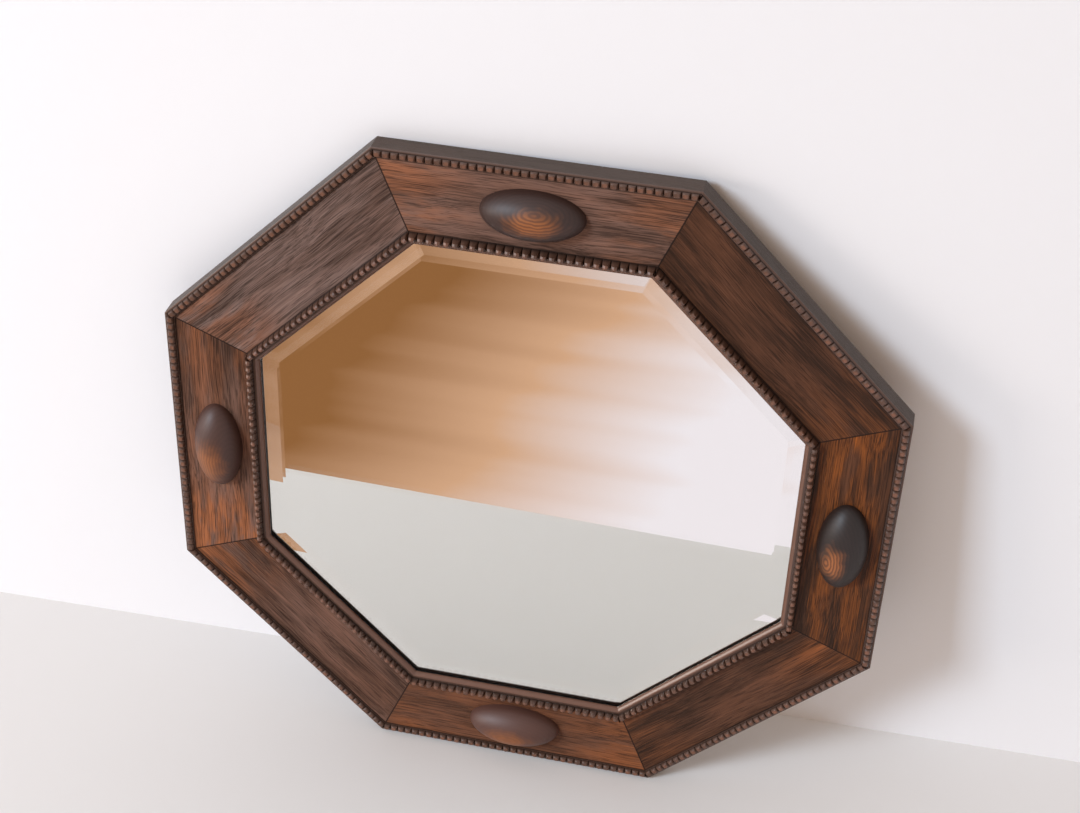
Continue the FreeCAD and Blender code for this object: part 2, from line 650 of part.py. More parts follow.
os.makedirs("parts", exist_ok=True)
for item in parts:
    item.Shape.exportStep(f"parts/{item.Label}.step")
    print(item.Label, len(item.Shape.Solids), "solids", round(item.Shape.Volume), "mm3")
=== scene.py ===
"""Looks of the octagonal oak wall mirror: beads, bosses, oak, silvered glass and a pale corner."""
import math

import bmesh
import bpy
import numpy as np
from mathutils import Matrix, Vector


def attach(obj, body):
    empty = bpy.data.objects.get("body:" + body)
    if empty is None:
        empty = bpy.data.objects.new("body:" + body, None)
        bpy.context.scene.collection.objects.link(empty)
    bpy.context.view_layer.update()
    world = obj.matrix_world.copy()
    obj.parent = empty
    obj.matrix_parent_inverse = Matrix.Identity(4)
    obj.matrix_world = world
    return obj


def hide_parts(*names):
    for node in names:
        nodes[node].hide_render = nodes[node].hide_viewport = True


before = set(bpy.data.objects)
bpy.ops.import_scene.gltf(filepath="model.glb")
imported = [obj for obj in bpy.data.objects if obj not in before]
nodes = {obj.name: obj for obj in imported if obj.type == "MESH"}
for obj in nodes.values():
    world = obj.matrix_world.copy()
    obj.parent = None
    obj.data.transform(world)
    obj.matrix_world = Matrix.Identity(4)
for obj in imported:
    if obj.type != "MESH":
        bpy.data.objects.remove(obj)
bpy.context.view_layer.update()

MM = 0.001
SIDES = ["top", "upper_right", "right", "lower_right", "bottom", "lower_left", "left", "upper_left"]
SIDE_TURN = math.radians(45)
MITRE = math.tan(SIDE_TURN / 2)

# Radii square to a side and heights above the back, in millimetres
OUTER, OUTER_LINE, FLAT_OUTER = 265.0, 262.4, 257.7
FLAT_INNER, RAIL_INNER, INNER_LINE, SLOPE_TOP, SIGHT = 205.0, 201.8, 200.2, 198.4, 195.6
FLAT, OUTER_FILLET, OUTER_CREST, INNER_FILLET, INNER_CREST = 15.0, 15.8, 18.4, 17.2, 22.7
SIGHT_EDGE, SIGHT_FOOT = 13.1, 14.6
OUTER_BEADS, INNER_BEADS = 37, 28
BOSS_LINE, BOSS_LENGTH, BOSS_WIDTH, BOSS_RISE = 231.35, 72.0, 36.0, 17.9
GLASS_EDGE, BEVEL_INNER, GLASS_BACK, GLASS_FACE, BEVEL_DEPTH = 200.5, 183.1, 8.893, 14.893, 2.65
FILM_RADIUS, FILM_HEIGHT, FILM_THICKNESS = 200.4, 8.98, 0.04

# Plain parts of the mouldings' sections, as (radius, height, shade and wear), before and after the row of
# beads.
# The third value goes from 0, painted shade in a quirk, to 1 on a crest, and is -1 on the slope beside the
# glass
OUTER_ROW, OUTER_FEET = (FLAT_OUTER + 0.8, OUTER_LINE + 1.0), (FLAT + 0.3, OUTER_FILLET)
OUTER_BEFORE = [
    (FLAT_OUTER, FLAT, 0.0), (FLAT_OUTER + 0.15, FLAT + 0.6, 0.35), (FLAT_OUTER + 0.7, FLAT + 0.6, 0.3),
]
OUTER_AFTER = [
    (OUTER_LINE + 1.1, OUTER_FILLET, 0.3), (OUTER - 0.5, OUTER_FILLET, 0.6),
    (OUTER, OUTER_FILLET - 0.4, 0.6), (OUTER, FLAT, 0.4),
]
INNER_ROW, INNER_FEET = (INNER_LINE, FLAT_INNER), (INNER_FILLET, FLAT)
INNER_BEFORE = [
    (RAIL_INNER, SIGHT_EDGE, 0.0), (SIGHT, SIGHT_EDGE, 0.0), (SIGHT, SIGHT_FOOT, -1.0),
    (SIGHT + 0.7, SIGHT_FOOT + 1.0, -1.0), (SLOPE_TOP - 0.8, INNER_FILLET - 0.5, -1.0),
    (SLOPE_TOP - 0.1, INNER_FILLET - 0.05, -1.0), (SLOPE_TOP + 0.2, INNER_FILLET, 0.5),
    (INNER_LINE - 0.1, INNER_FILLET, 0.3),
]
INNER_AFTER = [(RAIL_INNER, FLAT, 0.0)]

# Stations along one bead from slit to slit, and across its row from foot to foot, and its roundness
BEAD_ALONG = np.array([-1.0, -0.88, -0.58, 0.0, 0.58, 0.88])
BEAD_ACROSS = np.array([-1.0, -0.9, -0.6, 0.0, 0.6, 0.9, 1.0])
BEAD_POWER, ROOT_ALONG, ROOT_ACROSS = 3.4, 0.7, 0.5

# Hanger on the back of the top rail, in millimetres: the hinge, the ring's path and how far it
# stands off at rest, and the screws
HINGE_BEHIND, HINGE_HEIGHT = 2.1, 247.8
RING_HALF, RING_REACH, RING_BEND, RING_BOW, RING_GAP, RING_WIRE = 8.0, 14.0, 1.6, 5.0, 0.15, 1.0
RING_STANDS_OFF = 1.5
RING_TILT = math.asin(RING_STANDS_OFF / RING_REACH)
SCREW_BELOW = {"upper": 19.0, "lower": 28.0}
SCREW_RIM, SCREW_CROWN, SCREW_DOME, SCREW_SHANK, SCREW_TIP, STRAP_TOP = 3.2, 2.0, 0.8, 1.7, -11.0, 2.0
SLOT_SHARE, SLOT_DEPTH = 0.11, 0.9

# Steps of the meshes: a boss's length and width, a wire's bend and round, a screw's dome and round; and the
# distance in metres below which points merge
BOSS_STEPS, BEND_STEPS, WIRE_STEPS, DOME_STEPS, SCREW_STEPS = (49, 41), 8, 16, 9, 48
MERGE = 1e-6


def to_side(along, radius, height, side):
    """Point of a side's bench frame, turned about the mirror's middle to that side, in metres."""
    turn = SIDES.index(side) * SIDE_TURN
    x = along * math.cos(turn) + radius * math.sin(turn)
    z = radius * math.cos(turn) - along * math.sin(turn)
    return np.stack([x, -height + 0 * along, z], axis=-1) * MM


def new_piece(name, points, faces, body="frame", sharp=40.0, **attributes):
    """Mesh of one piece: points, faces and named values per point, doubles merged, smooth below an angle."""
    mesh = bpy.data.meshes.new(name)
    mesh.from_pydata(points.reshape(-1, 3).tolist(), [], faces)
    for label, values in attributes.items():
        layer = mesh.attributes.new(label, "FLOAT", "POINT")
        layer.data.foreach_set("value", np.asarray(values, np.float32).ravel())
    work = bmesh.new()
    work.from_mesh(mesh)
    bmesh.ops.remove_doubles(work, verts=work.verts, dist=MERGE)
    bmesh.ops.recalc_face_normals(work, faces=work.faces)
    work.to_mesh(mesh)
    work.free()
    mesh.shade_smooth()
    mesh.set_sharp_from_angle(angle=math.radians(sharp))
    piece = bpy.data.objects.new(name, mesh)
    bpy.context.scene.collection.objects.link(piece)
    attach(piece, body)
    return piece


def lattice(rows, columns, closed=False):
    """Quads of a grid of points numbered row by row; a closed grid joins its last column to its first."""
    row, column = np.meshgrid(np.arange(rows - 1), np.arange(columns - (not closed)), indexing="ij")
    after = (column + 1) % columns
    quads = np.stack([row * columns + column, row * columns + after,
                      (row + 1) * columns + after, (row + 1) * columns + column], axis=-1)
    return quads.reshape(-1, 4).tolist()


def tube(rows, columns):
    """Faces of a tube: a closed grid, and one face over each end."""
    ends = [list(range(columns)), list(range((rows - 1) * columns, rows * columns))]
    return lattice(rows, columns, closed=True) + ends


def pillow(share, power, root):
    """Cushion outline: 1 in the middle, falling to 0 at share -1 and 1 as (1 - |share|^power)^root."""
    return np.clip(1 - np.abs(share) ** power, 0, 1) ** root


def beaded_strip(name, side, count, row, feet, crest, before, after):
    """Moulding with a row of beads: its section runs round the strip, and its stations run along it.

    Section: plain points before and after a row of bead stations between two radii. Over the row the height
    is the straight line between the two feet plus a cushion, pillow(along) times pillow(across), up to the
    crest. Stations stand square to the strip and are clipped at the mitre, where |along| is
    radius * tan(22.5 degrees). The value kept per point, used for painted shade in the slits and for wear on
    the crests, is the share of the cushion, or a plain point's own value.
    """
    before, after = np.array(before), np.array(after)
    pitch = (row[0] + row[1]) * MITRE / count
    steps = np.arange(count + 2)[:, None] - count / 2 - 1 + (BEAD_ALONG[None] + 1) / 2
    steps = np.append(steps.ravel(), count / 2 + 1)
    phase = np.append(np.tile(BEAD_ALONG, count + 2), 1.0)
    radii = np.interp(BEAD_ACROSS, [-1, 1], row)
    foot = np.interp(BEAD_ACROSS, [-1, 1], feet)
    swell_along = pillow(phase, BEAD_POWER, ROOT_ALONG)
    swell_across = pillow(BEAD_ACROSS, BEAD_POWER, ROOT_ACROSS)
    swell = swell_along[:, None] * swell_across[None]
    height = foot + (crest - foot) * swell
    ones = np.ones(len(steps))[:, None]
    radius = np.concatenate([before[:, 0], radii, after[:, 0]])[None] * ones
    heights = np.concatenate([before[:, 1] * ones, height, after[:, 1] * ones], axis=1)
    wear = np.concatenate([before[:, 2] * ones, swell, after[:, 2] * ones], axis=1)
    along = np.clip(steps[:, None] * pitch, -radius * MITRE, radius * MITRE)
    return new_piece(name, to_side(along, radius, heights, side), tube(*along.shape), wear=wear)


def outer_beads(side):
    """Outer strip: a quirk and narrow fillet beside the flat, beads, and a low fillet with an eased edge."""
    piece = beaded_strip(f"outer_beads_{side}", side, OUTER_BEADS, OUTER_ROW, OUTER_FEET, OUTER_CREST,
                         OUTER_BEFORE, OUTER_AFTER)
    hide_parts(f"outer_bead_{side}")
    return piece


def inner_beads(side):
    """Inner moulding: seat, sight edge, slope, a narrow fillet, and tall beads falling to the flat."""
    piece = beaded_strip(f"inner_beads_{side}", side, INNER_BEADS, INNER_ROW, INNER_FEET, INNER_CREST,
                         INNER_BEFORE, INNER_AFTER)
    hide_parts(f"inner_bead_{side}")
    return piece


def boss(side):
    """Half egg: along = -a cos(p), radius = line + b sin(p) cos(q), height = flat + c sin(p) sin(q)."""
    half_turns = [np.linspace(0, math.pi, steps) for steps in BOSS_STEPS]
    turn, swing = np.meshgrid(*half_turns, indexing="ij")
    along = -BOSS_LENGTH / 2 * np.cos(turn)
    radius = BOSS_LINE + BOSS_WIDTH / 2 * np.sin(turn) * np.cos(swing)
    height = FLAT + BOSS_RISE * np.sin(turn) * np.sin(swing)
    rows, columns = turn.shape
    base = [i * columns for i in range(rows)] + [i * columns + columns - 1 for i in range(rows - 2, 0, -1)]
    piece = new_piece(f"boss_{side}", to_side(along, radius, height, side), lattice(rows, columns) + [base])
    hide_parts("turned_bosses")
    return piece


def ring():
    """Bent wire: a circle swept along a bar, two quarter bends, two legs, two quarter bows and a top."""
    quarter = np.linspace(0, math.pi / 2, BEND_STEPS)
    bend = np.stack([RING_HALF - RING_BEND + RING_BEND * np.sin(quarter),
                     RING_BEND - RING_BEND * np.cos(quarter)], axis=-1)
    bow = np.stack([RING_HALF - RING_BOW + RING_BOW * np.cos(quarter),
                    RING_REACH - RING_BOW + RING_BOW * np.sin(quarter)], axis=-1)
    right = np.concatenate([[(RING_GAP, 0.0)], bend, bow])
    path = np.concatenate([right, right[::-1] * np.array([-1, 1])])
    heading = np.gradient(path, axis=0)
    heading /= np.linalg.norm(heading, axis=1)[:, None]
    round_wire = np.linspace(0, 2 * math.pi, WIRE_STEPS, endpoint=False)
    across = path[:, :1] + heading[:, 1:] * np.cos(round_wire) * RING_WIRE
    down = path[:, 1:] - heading[:, :1] * np.cos(round_wire) * RING_WIRE
    lift = np.sin(round_wire) * RING_WIRE + 0 * down
    behind = HINGE_BEHIND + down * math.sin(RING_TILT) + lift * math.cos(RING_TILT)
    height = HINGE_HEIGHT - down * math.cos(RING_TILT) + lift * math.sin(RING_TILT)
    points = np.stack([across, behind, height], axis=-1) * MM
    piece = new_piece("bent_ring", points, tube(*across.shape), body="ring")
    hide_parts("hanging_ring")
    return piece


def screw(name, below):
    """Round-head screw: a profile turned about its axis, with a slot across its head.

    Height over the strap = crown * (1 - dome * (radius / rim)^2), cut down to a floor within the slot.
    """
    shank = np.array([(0.0, SCREW_TIP), (SCREW_SHANK, SCREW_TIP), (SCREW_SHANK, STRAP_TOP),
                      (SCREW_RIM, STRAP_TOP)])
    share = np.linspace(1, 0, DOME_STEPS)
    dome = np.stack([share * SCREW_RIM, STRAP_TOP + SCREW_CROWN * (1 - SCREW_DOME * share ** 2)], axis=-1)
    profile = np.concatenate([shank, dome])
    turn = np.linspace(0, 2 * math.pi, SCREW_STEPS, endpoint=False)
    across, up = profile[:, :1] * np.cos(turn), profile[:, :1] * np.sin(turn)
    behind = profile[:, 1:] + 0 * turn
    slot_floor = STRAP_TOP + SCREW_CROWN - SLOT_DEPTH
    in_slot = (np.abs(up) < SLOT_SHARE * SCREW_RIM) & (behind > slot_floor)
    behind = np.where(in_slot, slot_floor, behind)
    points = np.stack([across, behind, HINGE_HEIGHT - below + up], axis=-1) * MM
    piece = new_piece(name, points, lattice(*across.shape, closed=True), sharp=30.0)
    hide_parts("hanger_screws")
    return piece


def octagons(name, rings):
    """Solid between octagons, each given by its radius square to a side and its height, with flat ends.

    Corners stand at angles of 22.5 + 45 k degrees, at radius / cos(22.5 degrees) from the middle.
    """
    corner = np.arange(len(SIDES)) * SIDE_TURN + SIDE_TURN / 2
    radius, height = np.array(rings).T[..., None] / np.array([math.cos(SIDE_TURN / 2), 1])[:, None, None]
    points = np.stack([radius * np.sin(corner), -height + 0 * corner, radius * np.cos(corner)], axis=-1) * MM
    return new_piece(name, points, tube(len(rings), len(SIDES)), sharp=1.0)


def mirror_plate():
    """Bevelled plate: square edge, then a bevel rising to the flat face."""
    piece = octagons("bevelled_plate", [(GLASS_EDGE, GLASS_BACK), (GLASS_EDGE, GLASS_FACE - BEVEL_DEPTH),
                                        (BEVEL_INNER, GLASS_FACE)])
    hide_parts("mirror_glass")
    return piece


def silvering():
    """Film laid just inside the back of the plate, hair thin."""
    return octagons("silver_film", [(FILM_RADIUS, FILM_HEIGHT), (FILM_RADIUS, FILM_HEIGHT - FILM_THICKNESS)])


def linear(code):
    """Linear colour of an sRGB hex code."""
    share = np.array([int(code[i:i + 2], 16) for i in (1, 3, 5)]) / 255
    return (*np.where(share <= 0.04045, share / 12.92, ((share + 0.055) / 1.055) ** 2.4).tolist(), 1.0)


def add(tree, kind, inputs=None, **settings):
    """Adds a node: settings are its properties; inputs are values, or what is linked to a socket."""
    node = tree.nodes.new(kind)
    for key, value in settings.items():
        setattr(node, key, value)
    sockets = [socket for socket in node.inputs if socket.enabled]
    for key, value in (inputs or {}).items():
        socket = sockets[key] if isinstance(key, int) else next(s for s in sockets if s.name == key)
        if isinstance(value, bpy.types.Node):
            value = next(s for s in value.outputs if s.enabled)
        if isinstance(value, bpy.types.NodeSocket):
            tree.links.new(value, socket)
        else:
            socket.default_value = value
    return node


def new_material(name):
    """Empty node material and its tree."""
    material = bpy.data.materials.new(name)
    material.use_nodes = True
    material.node_tree.nodes.clear()
    return material, material.node_tree


# Oak stain: fumed dark brown, worn to orange, greyed by age and partly by a painted sheen, near black in
# pores and in quirks, painted shade in the beads' slits, dusty outside
STAIN_DEEP, STAIN_MID, STAIN_WORN, STAIN_GREY_AND_SHEEN = "#382317", "#633d28", "#925122", "#7a645c"
STAIN_PORE, QUIRK_SHADE_AND_DIRT, STAIN_DUST = "#22150e", "#150d09", "#51453e"
# Beads: flank stain, crests rubbed to orange and partly a painted highlight, and the slope's stain, partly
# lightened as a painted highlight
BEAD_FLANK, BEAD_CREST_RUB_AND_HIGHLIGHT, SLOPE_STAIN_AND_HIGHLIGHT = "#533a2e", "#83553f", "#6b4a3b"
BOSS_DEEP, BOSS_LIGHT, BOSS_EARLY_WOOD, BOSS_LATE_WOOD = "#20120d", "#654136", "#663a20", "#9a5b2d"

# Patterns in the oak, each a stretched noise: scale (1 over a size in metres), place, detail and roughness.
# Figure: clouds of stain 12 mm wide and 80 mm long. Streaks: lines 1 mm wide and 60 mm long, with finer ones
# inside them. Pores: open dashes 22 mm long and 0.5 mm wide, drawn wider than real ones so that they show.
# Patches: rubbed places 13 mm wide and 60 mm long
GRAIN = {
    "figure": ((12, 80, 80), (5.3, 2, 2.9), 3.0, 0.55),
    "streak": ((17, 1000, 1000), (7.7, 5, 4.1), 4.0, 0.60),
    "pore": ((45, 1850, 1850), (1.9, 8, 6.3), 2.0, 0.50),
    "patch": ((16, 75, 75), (2.3, 11, 9.1), 4.0, 0.60),
}

# Finish of each rail, clockwise: how light its stain is at its two ends, greying by age and painted sheen,
# wear all along, and wear beside the mitres at its two ends
RAIL_FINISH = {
    "top": (1.04, 0.86, 0.50, 0.08, 0.50, 0.45), "upper_right": (0.18, 0.18, 0.07, 0.03, 0.0, 0.45),
    "right": (0.36, 0.12, 0.0, 0.90, 0.35, 0.0), "lower_right": (0.39, 0.39, 0.13, 0.05, 0.50, 0.30),
    "bottom": (0.90, 0.85, 0.12, 0.12, 0.25, 0.15), "lower_left": (0.54, 0.54, 0.43, 0.08, 0.10, 0.95),
    "left": (1.12, 0.50, 0.43, 0.35, 1.15, 0.30), "upper_left": (0.62, 0.62, 1.0, 0.10, 1.1, 0.10),
}
# Along a rail, in metres from its middle: where the wear beside a mitre begins, and the rail's end
WEAR_BEGINS, RAIL_END = 0.03, 0.09
# How far the grain drifts at most, in metres, and how strongly figure and streaks change the stain. As they
# lighten it on average, about as much is taken off a rail's level
GRAIN_DRIFT, GRAIN_CONTRAST, MEAN_LIFT = 0.012, 1.9, 1.8
# Share of a rail's greying and painted sheen that its bare wood shows, and how much of the outer side the
# dust covers
BARE_GREYING, DUST_SHARE = 0.55, 0.75


def rail_oak(side):
    """Fumed and waxed oak board: fine long streaks, dashes of open pores, worn patches, dark lines at the
    quirks and mitres.
    """
    light_start, light_end, greying_and_sheen, worn_along, worn_start, worn_end = RAIL_FINISH[side]
    turn = SIDES.index(side)
    material, tree = new_material(f"fumed_oak_rail_{side}")
    place = add(tree, "ShaderNodeTexCoord").outputs["Object"]
    bench = add(tree, "ShaderNodeMapping", {"Vector": place, "Rotation": (0, -turn * SIDE_TURN, 0)})
    axes = add(tree, "ShaderNodeSeparateXYZ", {"Vector": bench})
    along, radius = axes.outputs[0], axes.outputs[2]
    # Slow drift of the grain: bends of a few millimetres over the length of a rail
    drift = add(tree, "ShaderNodeMapping", {"Vector": bench, "Scale": (6, 14, 14),
                                            "Location": (turn * 3.1, 0, turn * 1.7)})
    drift = add(tree, "ShaderNodeTexNoise", {"Vector": drift, "Scale": 1.0, "Detail": 2.0})
    drift = add(tree, "ShaderNodeVectorMath", {0: drift.outputs["Color"], 1: (0, GRAIN_DRIFT, GRAIN_DRIFT)},
                operation="MULTIPLY")
    grain = add(tree, "ShaderNodeVectorMath", {0: bench, 1: drift}, operation="ADD")
    noise = {}
    for label, (scale, start, detail, roughness) in GRAIN.items():
        stretch = add(tree, "ShaderNodeMapping", {"Vector": grain, "Scale": scale,
                                                  "Location": (turn * start[0], start[1], turn * start[2])})
        noise[label] = add(tree, "ShaderNodeTexNoise", {"Vector": stretch, "Scale": 1.0, "Detail": detail,
                                                        "Roughness": roughness})
    # Pores are open where the noise is high, and more so where the figure is dark
    pore = add(tree, "ShaderNodeMath", {0: noise["figure"], 1: -0.25, 2: noise["pore"]},
               operation="MULTIPLY_ADD")
    pore = add(tree, "ShaderNodeMapRange", {"Value": pore, "From Min": 0.37, "From Max": 0.5,
                                            "To Max": 0.62}, interpolation_type="SMOOTHSTEP")
    # Stain between deep and mid brown: the rail's own level, varied by figure and streaks
    level = add(tree, "ShaderNodeMapRange", {"Value": along, "From Min": -RAIL_END, "From Max": RAIL_END,
                                             "To Min": light_start - MEAN_LIFT,
                                             "To Max": light_end - MEAN_LIFT})
    blend = add(tree, "ShaderNodeMath", {0: noise["figure"], 1: GRAIN_CONTRAST, 2: level},
                operation="MULTIPLY_ADD")
    blend = add(tree, "ShaderNodeMath", {0: noise["streak"], 1: GRAIN_CONTRAST, 2: blend},
                operation="MULTIPLY_ADD")
    blend = add(tree, "ShaderNodeClamp", {"Value": blend, "Max": 1.35})
    # Greying: partly age, partly a painted sheen on the rails that catch the light
    mid = add(tree, "ShaderNodeMix", {"Factor": greying_and_sheen, "A": linear(STAIN_MID), "B": linear(STAIN_GREY_AND_SHEEN)},
              data_type="RGBA")
    # Wear: orange where the stain is rubbed through, in patches, more beside the mitres
    first = add(tree, "ShaderNodeMapRange", {"Value": along, "From Min": -RAIL_END, "From Max": -WEAR_BEGINS,
                                             "To Min": worn_along + worn_start, "To Max": worn_along},
                interpolation_type="SMOOTHSTEP")
    last = add(tree, "ShaderNodeMapRange", {"Value": along, "From Min": WEAR_BEGINS, "From Max": RAIL_END,
                                            "To Min": 0.0, "To Max": worn_end},
               interpolation_type="SMOOTHSTEP")
    worn = add(tree, "ShaderNodeMath", {0: first, 1: last}, operation="ADD")
    patch = add(tree, "ShaderNodeMapRange", {"Value": noise["patch"], "From Min": 0.35, "From Max": 0.6,
                                             "To Max": 1.3}, interpolation_type="SMOOTHSTEP")
    worn = add(tree, "ShaderNodeMath", {0: worn, 1: patch}, operation="MULTIPLY", use_clamp=True)
    bare = add(tree, "ShaderNodeMix", {"Factor": greying_and_sheen * BARE_GREYING, "A": linear(STAIN_WORN),
                                       "B": linear(STAIN_GREY_AND_SHEEN)}, data_type="RGBA")
    mid = add(tree, "ShaderNodeMix", {"Factor": worn, "A": mid, "B": bare}, data_type="RGBA")
    stain = add(tree, "ShaderNodeMix", {"Factor": blend, "A": linear(STAIN_DEEP), "B": mid},
                data_type="RGBA", clamp_factor=False)
    colour = add(tree, "ShaderNodeMix", {"Factor": pore, "A": stain, "B": linear(STAIN_PORE)},
                 data_type="RGBA")
    # Thin dark lines along both edges of the flat, where the mouldings meet it, and along the mitre joints
    from_middle = add(tree, "ShaderNodeMath", {0: radius, 1: BOSS_LINE * MM}, operation="SUBTRACT")
    from_middle = add(tree, "ShaderNodeMath", {0: from_middle}, operation="ABSOLUTE")
    to_edge = add(tree, "ShaderNodeMath", {0: (FLAT_OUTER - FLAT_INNER) / 2 * MM, 1: from_middle},
                  operation="SUBTRACT")
    reach = add(tree, "ShaderNodeMath", {0: along}, operation="ABSOLUTE")
    to_mitre = add(tree, "ShaderNodeMath", {0: radius, 1: MITRE}, operation="MULTIPLY")
    to_mitre = add(tree, "ShaderNodeMath", {0: to_mitre, 1: reach}, operation="SUBTRACT")
    edge_dark_line = add(tree, "ShaderNodeMapRange", {"Value": to_edge, "From Min": 0.0002, "From Max": 0.0012,
                                                 "To Min": 0.7, "To Max": 0.0},
                    interpolation_type="SMOOTHSTEP")
    mitre_dirt = add(tree, "ShaderNodeMapRange", {"Value": to_mitre, "From Min": 0.0002, "From Max": 0.0009,
                                                  "To Min": 0.9, "To Max": 0.0},
                     interpolation_type="SMOOTHSTEP")
    dark_lines = add(tree, "ShaderNodeMath", {0: edge_dark_line, 1: mitre_dirt}, operation="MAXIMUM")
    colour = add(tree, "ShaderNodeMix", {"Factor": dark_lines, "A": colour, "B": linear(QUIRK_SHADE_AND_DIRT)},
                 data_type="RGBA")
    # Dust on the outer side, which the hand does not polish
    outside = add(tree, "ShaderNodeMath", {0: radius, 1: (OUTER - 0.2) * MM}, operation="GREATER_THAN")
    outside = add(tree, "ShaderNodeMath", {0: outside, 1: DUST_SHARE}, operation="MULTIPLY")
    colour = add(tree, "ShaderNodeMix", {"Factor": outside, "A": colour, "B": linear(STAIN_DUST)},
                 data_type="RGBA")
    # Wax leaves a dull sheen, rougher in the pores, which are also sunk
    rough = add(tree, "ShaderNodeMapRange", {"Value": pore, "To Min": 0.45, "To Max": 0.65})
    relief = add(tree, "ShaderNodeMath", {0: noise["streak"], 1: 0.5}, operation="MULTIPLY")
    relief = add(tree, "ShaderNodeMath", {0: relief, 1: pore}, operation="SUBTRACT")
    bump = add(tree, "ShaderNodeBump", {"Height": relief, "Strength": 0.35, "Distance": 0.0005})
    surface = add(tree, "ShaderNodeBsdfPrincipled", {"Base Color": colour, "Roughness": rough,
                                                     "Normal": bump, "Specular IOR Level": 0.15})
    add(tree, "ShaderNodeOutputMaterial", {"Surface": surface})
    return material


def bead_oak():
    """Oak cut into beads: painted shade in the slits, greyish flanks, crests rubbed to orange and partly a
    painted highlight, a polished slope partly lightened as a painted highlight.
    """
    material, tree = new_material("fumed_oak_beads")
    place = add(tree, "ShaderNodeTexCoord").outputs["Object"]
    wear = add(tree, "ShaderNodeAttribute", attribute_name="wear").outputs["Fac"]
    # Rubbing comes and goes over stretches of 11 mm, two beads
    rub = add(tree, "ShaderNodeTexNoise", {"Vector": place, "Scale": 90.0, "Detail": 3.0})
    rub = add(tree, "ShaderNodeMapRange", {"Value": rub, "From Min": 0.35, "From Max": 0.65,
                                           "To Min": 0.05, "To Max": 0.8}, interpolation_type="SMOOTHSTEP")
    # Crests: rubbed to orange, and partly a painted highlight
    crest = add(tree, "ShaderNodeMapRange", {"Value": wear, "From Min": 0.7, "From Max": 1.0},
                interpolation_type="SMOOTHSTEP")
    crest = add(tree, "ShaderNodeMath", {0: crest, 1: rub}, operation="MULTIPLY")
    # Painted shade: near black towards the slits and the feet of the beads, rising to the flank colour up
    # each bead
    slit_shade = add(tree, "ShaderNodeMapRange", {"Value": wear, "From Min": -0.15, "From Max": 0.6},
                interpolation_type="SMOOTHSTEP")
    colour = add(tree, "ShaderNodeMix", {"Factor": slit_shade, "A": linear(QUIRK_SHADE_AND_DIRT), "B": linear(BEAD_FLANK)},
                 data_type="RGBA")
    colour = add(tree, "ShaderNodeMix", {"Factor": crest, "A": colour, "B": linear(BEAD_CREST_RUB_AND_HIGHLIGHT)},
                 data_type="RGBA")
    # Slope beside the glass: a lighter stain, partly a painted highlight, and a smoother wax
    slope = add(tree, "ShaderNodeMath", {0: wear, 1: -0.5}, operation="LESS_THAN")
    colour = add(tree, "ShaderNodeMix", {"Factor": slope, "A": colour, "B": linear(SLOPE_STAIN_AND_HIGHLIGHT)},
                 data_type="RGBA")
    rough = add(tree, "ShaderNodeMapRange", {"Value": slope, "To Min": 0.4, "To Max": 0.24})
    surface = add(tree, "ShaderNodeBsdfPrincipled", {"Base Color": colour, "Roughness": rough})
    add(tree, "ShaderNodeOutputMaterial", {"Surface": surface})
    return material


# Each boss, in millimetres along it and outward across it: where its rings centre, its worn patch's middle
# and half sizes, how clear its rings are, and how light its stain is, partly a painted sheen
BOSS_FINISH = {
    "top": ((4.5, 8), (3, 1), (25, 13), 0.75, 0.18), "right": ((6, -10), (7, -5), (20, 12), 1.0, 0.0),
    "bottom": ((3, 4), (3, 6), (28, 14), 0.2, 0.62), "left": ((-7, -12.5), (-10, 5), (28, 18), 0.4, 0.42),
}
# Distance between a boss's rings in metres, and how far they wander
RING_SPACING, RING_WANDER = 0.0021, 0.0025


